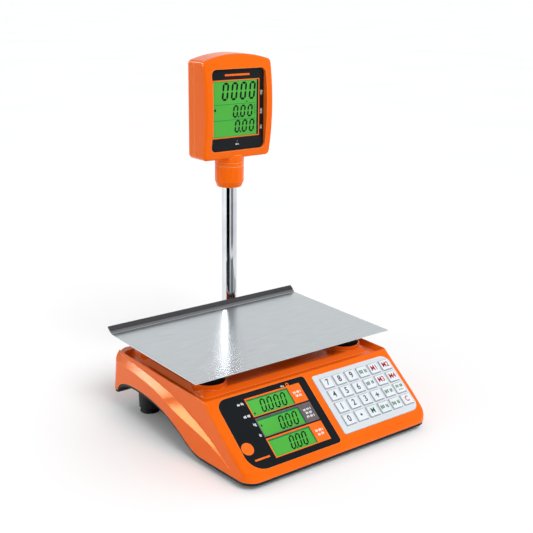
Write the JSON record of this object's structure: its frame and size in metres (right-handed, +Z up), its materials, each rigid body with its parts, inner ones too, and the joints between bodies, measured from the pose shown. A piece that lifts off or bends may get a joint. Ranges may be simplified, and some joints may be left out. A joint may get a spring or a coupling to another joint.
{
  "type": "retail price scale",
  "caption": "Counter price scale: orange body with a sloping keypad and display console, flat stainless pan on rubber cups, and a swivelling display on a pole.",
  "frame": {"origin": "middle of the footprint, on the surface that the scale stands on", "axes": "+Z up; -Y is the console side that the shopkeeper faces; +X to the shopkeeper's right, where the keypad is"},
  "size_m": [0.33, 0.366, 0.49],
  "materials": {
    "orange_plastic": "satin-gloss moulded orange ABS",
    "black_plastic": "fine-textured black ABS",
    "rubber_black": "matt black rubber",
    "rubber_grey": "grey silicone",
    "cast_alloy": "matt pressed alloy",
    "cell_aluminium": "machined aluminium",
    "zinc_steel": "zinc-plated steel",
    "pan_steel": "brushed stainless steel",
    "guard_dark": "dark grey edging strip",
    "panel_black": "gloss black printed panel",
    "plate_silver": "silver-grey painted plate",
    "key_plastic": "silver-grey key with printed legend",
    "board_green": "green solder mask",
    "lcd_glass": "green backlit liquid-crystal display",
    "battery_case": "dark grey battery case",
    "rocker_plastic": "gloss black rocker",
    "bracket_black": "black powder-coated casting",
    "pole_chrome": "bright chromed tube",
    "cable_rubber": "black cable sheath"
  },
  "bodies": {
    "base": {"upper_housing": "orange_plastic", "lower_housing": "black_plastic", "display_panel": "panel_black", "keypad_plate": "plate_silver", "keypad_rubber": "rubber_grey", "keypad_board": "board_green", "console_lcds": "lcd_glass", "display_board": "board_green", "battery": "battery_case", "main_board": "board_green", "load_cell": "cell_aluminium", "switch_body": "black_plastic", "charging_jack": "black_plastic", "pole_bracket": "bracket_black", "pole": "pole_chrome", "pole_cable": "cable_rubber", "base_screws": "zinc_steel"},
    "weighing_stage": {"tray_carrier": "cast_alloy", "carrier_spacer": "cell_aluminium", "carrier_screws": "zinc_steel", "support_cups": "rubber_black"},
    "pan": {"pan": "pan_steel", "pan_edge_guard": "guard_dark"},
    "head": {"head_front_cover": "orange_plastic", "head_rear_cover": "orange_plastic", "head_screws": "zinc_steel", "head_lens": "panel_black", "head_lcd": "lcd_glass", "head_board": "board_green", "neck_collar": "orange_plastic"},
    "switch_rocker": {"switch_rocker": "rocker_plastic"},
    "battery_door": {"battery_door": "black_plastic"},
    "foot_front_left": {"foot_front_left": "rubber_black"},
    "foot_front_right": {"foot_front_right": "rubber_black"},
    "foot_rear_left": {"foot_rear_left": "rubber_black"},
    "foot_rear_right": {"foot_rear_right": "rubber_black"},
    "key_r1_c1": {"key_r1_c1": "key_plastic"},
    "key_r1_c2": {"key_r1_c2": "key_plastic"},
    "key_r1_c3": {"key_r1_c3": "key_plastic"},
    "key_r1_c4": {"key_r1_c4": "key_plastic"},
    "key_r1_c5": {"key_r1_c5": "key_plastic"},
    "key_r1_c6": {"key_r1_c6": "key_plastic"},
    "key_r2_c1": {"key_r2_c1": "key_plastic"},
    "key_r2_c2": {"key_r2_c2": "key_plastic"},
    "key_r2_c3": {"key_r2_c3": "key_plastic"},
    "key_r2_c4": {"key_r2_c4": "key_plastic"},
    "key_r2_c5": {"key_r2_c5": "key_plastic"},
    "key_r2_c6": {"key_r2_c6": "key_plastic"},
    "key_r3_c1": {"key_r3_c1": "key_plastic"},
    "key_r3_c2": {"key_r3_c2": "key_plastic"},
    "key_r3_c3": {"key_r3_c3": "key_plastic"},
    "key_r3_c4": {"key_r3_c4": "key_plastic"},
    "key_r3_c5": {"key_r3_c5": "key_plastic"},
    "key_r3_c6": {"key_r3_c6": "key_plastic"},
    "key_r4_c1": {"key_r4_c1": "key_plastic"},
    "key_r4_c2": {"key_r4_c2": "key_plastic"},
    "key_r4_c3": {"key_r4_c3": "key_plastic"},
    "key_r4_c4": {"key_r4_c4": "key_plastic"},
    "key_r4_c5": {"key_r4_c5": "key_plastic"},
    "key_r4_c6": {"key_r4_c6": "key_plastic"}
  },
  "joints": [
    {"name": "stage_deflection", "type": "slide", "parent": "base", "child": "weighing_stage", "axis": [0, 0, -1], "range_m": [0, 0.0008], "stiffness_N_per_m": 60000, "deforming": ["load_cell"]},
    {"name": "pan_lift", "type": "slide", "parent": "weighing_stage", "child": "pan", "axis": [0, 0, 1], "range_m": [0, 0.06]},
    {"name": "head_swivel", "type": "hinge", "parent": "base", "child": "head", "pos_m": [0.0596, 0.161, 0.34], "axis": [0, 0, 1], "range_deg": [-150, 150]},
    {"name": "rocker_tilt", "type": "hinge", "parent": "base", "child": "switch_rocker", "pos_m": [-0.078, 0.1326, 0.058], "axis": [0, 0, 1], "range_deg": [-16, 0]},
    {"name": "battery_door_slide", "type": "slide", "parent": "base", "child": "battery_door", "axis": [0, 1, 0], "range_m": [0, 0.045]},
    {"name": "height_front_left", "type": "slide", "parent": "base", "child": "foot_front_left", "axis": [0, 0, -1], "range_m": [0, 0.006]},
    {"name": "height_front_right", "type": "slide", "parent": "base", "child": "foot_front_right", "axis": [0, 0, -1], "range_m": [0, 0.006]},
    {"name": "height_rear_left", "type": "slide", "parent": "base", "child": "foot_rear_left", "axis": [0, 0, -1], "range_m": [0, 0.006]},
    {"name": "height_rear_right", "type": "slide", "parent": "base", "child": "foot_rear_right", "axis": [0, 0, -1], "range_m": [0, 0.006]},
    {"name": "press_r1_c1", "type": "slide", "parent": "base", "child": "key_r1_c1", "axis": [0, 0.6143, -0.7891], "range_m": [0, 0.0012], "stiffness_N_per_m": 420},
    {"name": "press_r1_c2", "type": "slide", "parent": "base", "child": "key_r1_c2", "axis": [0, 0.6143, -0.7891], "range_m": [0, 0.0012], "stiffness_N_per_m": 420},
    {"name": "press_r1_c3", "type": "slide", "parent": "base", "child": "key_r1_c3", "axis": [0, 0.6143, -0.7891], "range_m": [0, 0.0012], "stiffness_N_per_m": 420},
    {"name": "press_r1_c4", "type": "slide", "parent": "base", "child": "key_r1_c4", "axis": [0, 0.6143, -0.7891], "range_m": [0, 0.0012], "stiffness_N_per_m": 420},
    {"name": "press_r1_c5", "type": "slide", "parent": "base", "child": "key_r1_c5", "axis": [0, 0.6143, -0.7891], "range_m": [0, 0.0012], "stiffness_N_per_m": 420},
    {"name": "press_r1_c6", "type": "slide", "parent": "base", "child": "key_r1_c6", "axis": [0, 0.6143, -0.7891], "range_m": [0, 0.0012], "stiffness_N_per_m": 420},
    {"name": "press_r2_c1", "type": "slide", "parent": "base", "child": "key_r2_c1", "axis": [0, 0.6143, -0.7891], "range_m": [0, 0.0012], "stiffness_N_per_m": 420},
    {"name": "press_r2_c2", "type": "slide", "parent": "base", "child": "key_r2_c2", "axis": [0, 0.6143, -0.7891], "range_m": [0, 0.0012], "stiffness_N_per_m": 420},
    {"name": "press_r2_c3", "type": "slide", "parent": "base", "child": "key_r2_c3", "axis": [0, 0.6143, -0.7891], "range_m": [0, 0.0012], "stiffness_N_per_m": 420},
    {"name": "press_r2_c4", "type": "slide", "parent": "base", "child": "key_r2_c4", "axis": [0, 0.6143, -0.7891], "range_m": [0, 0.0012], "stiffness_N_per_m": 420},
    {"name": "press_r2_c5", "type": "slide", "parent": "base", "child": "key_r2_c5", "axis": [0, 0.6143, -0.7891], "range_m": [0, 0.0012], "stiffness_N_per_m": 420},
    {"name": "press_r2_c6", "type": "slide", "parent": "base", "child": "key_r2_c6", "axis": [0, 0.6143, -0.7891], "range_m": [0, 0.0012], "stiffness_N_per_m": 420},
    {"name": "press_r3_c1", "type": "slide", "parent": "base", "child": "key_r3_c1", "axis": [0, 0.6143, -0.7891], "range_m": [0, 0.0012], "stiffness_N_per_m": 420},
    {"name": "press_r3_c2", "type": "slide", "parent": "base", "child": "key_r3_c2", "axis": [0, 0.6143, -0.7891], "range_m": [0, 0.0012], "stiffness_N_per_m": 420},
    {"name": "press_r3_c3", "type": "slide", "parent": "base", "child": "key_r3_c3", "axis": [0, 0.6143, -0.7891], "range_m": [0, 0.0012], "stiffness_N_per_m": 420},
    {"name": "press_r3_c4", "type": "slide", "parent": "base", "child": "key_r3_c4", "axis": [0, 0.6143, -0.7891], "range_m": [0, 0.0012], "stiffness_N_per_m": 420},
    {"name": "press_r3_c5", "type": "slide", "parent": "base", "child": "key_r3_c5", "axis": [0, 0.6143, -0.7891], "range_m": [0, 0.0012], "stiffness_N_per_m": 420},
    {"name": "press_r3_c6", "type": "slide", "parent": "base", "child": "key_r3_c6", "axis": [0, 0.6143, -0.7891], "range_m": [0, 0.0012], "stiffness_N_per_m": 420},
    {"name": "press_r4_c1", "type": "slide", "parent": "base", "child": "key_r4_c1", "axis": [0, 0.6143, -0.7891], "range_m": [0, 0.0012], "stiffness_N_per_m": 420},
    {"name": "press_r4_c2", "type": "slide", "parent": "base", "child": "key_r4_c2", "axis": [0, 0.6143, -0.7891], "range_m": [0, 0.0012], "stiffness_N_per_m": 420},
    {"name": "press_r4_c3", "type": "slide", "parent": "base", "child": "key_r4_c3", "axis": [0, 0.6143, -0.7891], "range_m": [0, 0.0012], "stiffness_N_per_m": 420},
    {"name": "press_r4_c4", "type": "slide", "parent": "base", "child": "key_r4_c4", "axis": [0, 0.6143, -0.7891], "range_m": [0, 0.0012], "stiffness_N_per_m": 420},
    {"name": "press_r4_c5", "type": "slide", "parent": "base", "child": "key_r4_c5", "axis": [0, 0.6143, -0.7891], "range_m": [0, 0.0012], "stiffness_N_per_m": 420},
    {"name": "press_r4_c6", "type": "slide", "parent": "base", "child": "key_r4_c6", "axis": [0, 0.6143, -0.7891], "range_m": [0, 0.0012], "stiffness_N_per_m": 420}
  ]
}
